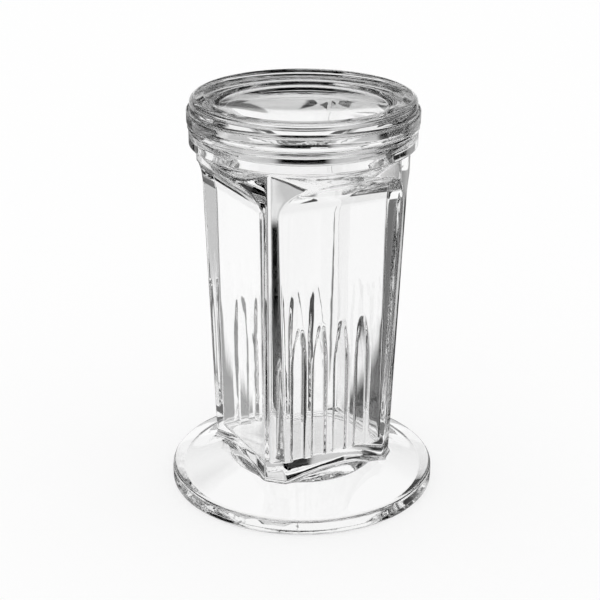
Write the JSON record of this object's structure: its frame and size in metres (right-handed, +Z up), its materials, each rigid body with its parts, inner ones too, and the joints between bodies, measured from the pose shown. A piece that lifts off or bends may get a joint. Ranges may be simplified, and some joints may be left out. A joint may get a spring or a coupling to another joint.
{
  "type": "slide staining jar",
  "caption": "Square-bodied pressed glass staining jar with ribbed inner walls for upright microscope slides, a round collar and mouth, a wide round foot and a loose glass lid.",
  "frame": {"origin": "centre of the foot's underside, on the jar's upright axis", "axes": "+Z up along the jar's axis, the ribbed walls face +Y and -Y, the plain walls face +X and -X"},
  "size_m": [0.071, 0.071, 0.1071],
  "materials": {
    "jar_glass": "fire-polished clear pressed glass",
    "lid_glass": "fire-polished clear pressed glass, ground on its seat"
  },
  "bodies": {
    "root": {"jar": "jar_glass", "lid": "lid_glass"}
  },
  "joints": []
}
